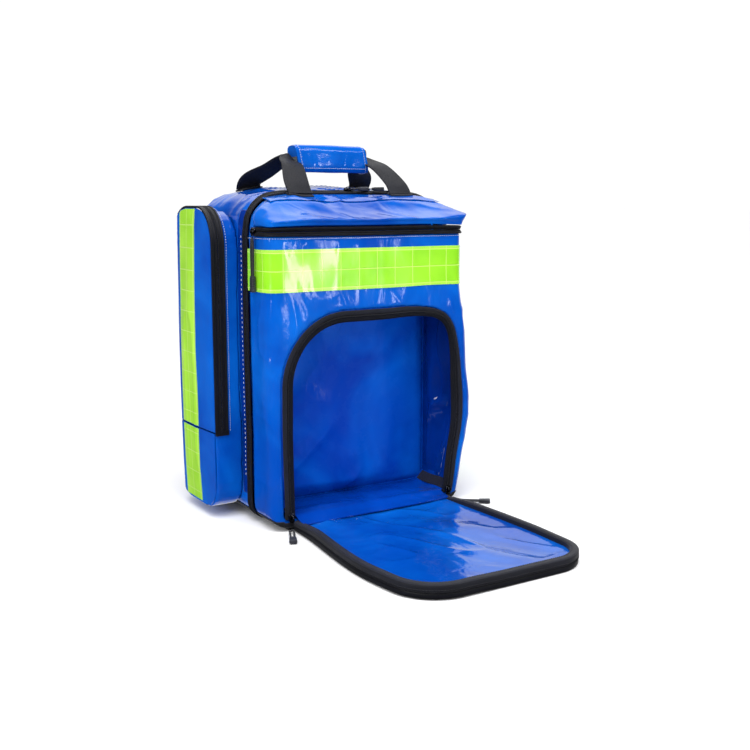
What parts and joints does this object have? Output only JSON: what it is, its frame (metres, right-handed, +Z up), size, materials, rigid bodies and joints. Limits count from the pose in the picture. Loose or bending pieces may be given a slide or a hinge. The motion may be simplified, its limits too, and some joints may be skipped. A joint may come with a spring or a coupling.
{
  "type": "trauma backpack",
  "caption": "Upright tarpaulin trauma backpack with a hinged lid, a drop-down front door, zipped side pockets, a wrapped carry handle and a padded harness.",
  "frame": {"origin": "underside of the rear base panel, below the middle of the bag's width", "axes": "+Z up, -Y towards the front door, +X towards the right seen from the front"},
  "size_m": [0.3886, 0.5794, 0.499],
  "materials": {
    "tarpaulin": "gloss PVC-coated tarpaulin, royal blue",
    "lining": "semi-gloss coated lining, royal blue",
    "zip_tape": "woven polyester zip tape and binding, black",
    "webbing": "woven nylon webbing, black",
    "reflective": "fluorescent yellow-green micro-prism tape",
    "slider_metal": "dark nickel zip sliders",
    "pull_cord": "cord pull with moulded rubber end",
    "mesh_foam": "black spacer mesh over foam",
    "plastic": "black moulded acetal",
    "elastic": "black woven elastic"
  },
  "bodies": {
    "rear_half": {"rear_shell": "tarpaulin", "base_panel_rear": "webbing", "frame_sheet": "plastic", "organiser_panel": "lining", "elastic_row_1": "elastic", "elastic_row_2": "elastic", "main_zip_rear_tape": "zip_tape", "spine_rear": "webbing", "left_pocket_shell": "tarpaulin", "left_pocket_zip_tape": "zip_tape", "left_pocket_stripe_lower": "reflective", "right_pocket_shell": "tarpaulin", "right_pocket_zip_tape": "zip_tape", "right_pocket_stripe_lower": "reflective", "back_pad_left": "mesh_foam", "back_pad_right": "mesh_foam", "lumbar_pad": "mesh_foam", "harness_yoke": "webbing", "shoulder_strap_left": "mesh_foam", "shoulder_strap_right": "mesh_foam", "ladder_lock_left": "plastic", "ladder_lock_right": "plastic", "strap_webbing_left": "webbing", "strap_webbing_right": "webbing", "sternum_strap_left": "webbing", "sternum_strap_right": "webbing", "sternum_buckle": "plastic"},
    "front_half": {"front_shell": "tarpaulin", "front_divider": "lining", "base_panel_front": "webbing", "door_zip_fixed_tape": "zip_tape", "reflective_band": "reflective", "lid_zip_lower_tape": "zip_tape", "main_zip_front_tape": "zip_tape", "spine_front": "webbing"},
    "lid": {"lid": "tarpaulin", "lid_zip_upper_tape": "zip_tape"},
    "door": {"door_binding": "zip_tape", "door_panel": "tarpaulin"},
    "left_flap": {"left_pocket_flap": "tarpaulin", "left_pocket_stripe_upper": "reflective"},
    "right_flap": {"right_pocket_flap": "tarpaulin", "right_pocket_stripe_upper": "reflective"},
    "front_loop": {"handle_front_loop": "webbing", "grip_wrap": "tarpaulin"},
    "rear_loop": {"handle_rear_loop": "webbing"},
    "door_slider_left": {"door_slider_left": "slider_metal"},
    "door_slider_right": {"door_slider_right": "slider_metal"},
    "door_pull_left": {"door_pull_left": "pull_cord"},
    "door_pull_right": {"door_pull_right": "pull_cord"},
    "main_slider_1": {"main_slider_1": "slider_metal"},
    "main_slider_2": {"main_slider_2": "slider_metal"},
    "main_pull_1": {"main_pull_1": "pull_cord"},
    "main_pull_2": {"main_pull_2": "pull_cord"},
    "lid_slider": {"lid_slider": "slider_metal"},
    "lid_pull": {"lid_pull": "pull_cord"},
    "left_pocket_slider": {"left_pocket_slider": "slider_metal"},
    "right_pocket_slider": {"right_pocket_slider": "slider_metal"}
  },
  "joints": [
    {"name": "clamshell_swing", "type": "hinge", "parent": "rear_half", "child": "front_half", "pos_m": [0.152, -0.038, 0.2], "axis": [0, 0, 1], "range_deg": [0, 90]},
    {"name": "lid_hinge", "type": "hinge", "parent": "front_half", "child": "lid", "pos_m": [0, -0.0594, 0.4373], "axis": [-1, 0, 0], "range_deg": [0, 95]},
    {"name": "door_hinge", "type": "hinge", "parent": "front_half", "child": "door", "pos_m": [0, -0.1065, 0.0145], "axis": [-1, 0, 0], "range_deg": [0, 90]},
    {"name": "left_flap_hinge", "type": "hinge", "parent": "rear_half", "child": "left_flap", "pos_m": [-0.1883, 0.053, 0.1203], "axis": [0, -1, 0], "range_deg": [0, 105]},
    {"name": "right_flap_hinge", "type": "hinge", "parent": "rear_half", "child": "right_flap", "pos_m": [0.1883, 0.053, 0.1203], "axis": [0, 1, 0], "range_deg": [0, 105]},
    {"name": "front_loop_hinge", "type": "hinge", "parent": "front_half", "child": "front_loop", "pos_m": [0, -0.054, 0.4412], "axis": [1, 0, 0], "range_deg": [0, 30]},
    {"name": "rear_loop_hinge", "type": "hinge", "parent": "rear_half", "child": "rear_loop", "pos_m": [0, 0.08, 0.4412], "axis": [-1, 0, 0], "range_deg": [0, 60]},
    {"name": "door_slider_left_slide", "type": "slide", "parent": "front_half", "child": "door_slider_left", "axis": [0, 0, 1], "range_m": [0, 0.15]},
    {"name": "door_slider_right_slide", "type": "slide", "parent": "front_half", "child": "door_slider_right", "axis": [0, 0, 1], "range_m": [0, 0.15]},
    {"name": "door_pull_left_swing", "type": "hinge", "parent": "door_slider_left", "child": "door_pull_left", "pos_m": [-0.1274, -0.1104, 0.0034], "axis": [-1, 0, 0], "range_deg": [0, 80]},
    {"name": "door_pull_right_swing", "type": "hinge", "parent": "door_slider_right", "child": "door_pull_right", "pos_m": [0.1319, -0.1105, 0.0034], "axis": [0, -1, 0], "range_deg": [0, 80]},
    {"name": "main_slider_1_slide", "type": "slide", "parent": "front_half", "child": "main_slider_1", "axis": [-1, 0, 0], "range_m": [0, 0.05]},
    {"name": "main_slider_2_slide", "type": "slide", "parent": "front_half", "child": "main_slider_2", "axis": [1, 0, 0], "range_m": [0, 0.006]},
    {"name": "main_pull_1_swing", "type": "hinge", "parent": "main_slider_1", "child": "main_pull_1", "pos_m": [0.002, -0.0472, 0.441], "axis": [0, -1, 0], "range_deg": [0, 90]},
    {"name": "main_pull_2_swing", "type": "hinge", "parent": "main_slider_2", "child": "main_pull_2", "pos_m": [0.033, -0.0472, 0.441], "axis": [0, -1, 0], "range_deg": [0, 90]},
    {"name": "lid_slider_slide", "type": "slide", "parent": "front_half", "child": "lid_slider", "axis": [0, -1, 0], "range_m": [0, 0.012]},
    {"name": "lid_pull_swing", "type": "hinge", "parent": "lid_slider", "child": "lid_pull", "pos_m": [-0.1555, -0.0685, 0.3825], "axis": [0, 1, 0], "range_deg": [0, 80]},
    {"name": "left_pocket_slider_slide", "type": "slide", "parent": "rear_half", "child": "left_pocket_slider", "axis": [0, 0, 1], "range_m": [0, 0.15]},
    {"name": "right_pocket_slider_slide", "type": "slide", "parent": "rear_half", "child": "right_pocket_slider", "axis": [0, 0, 1], "range_m": [0, 0.15]}
  ]
}
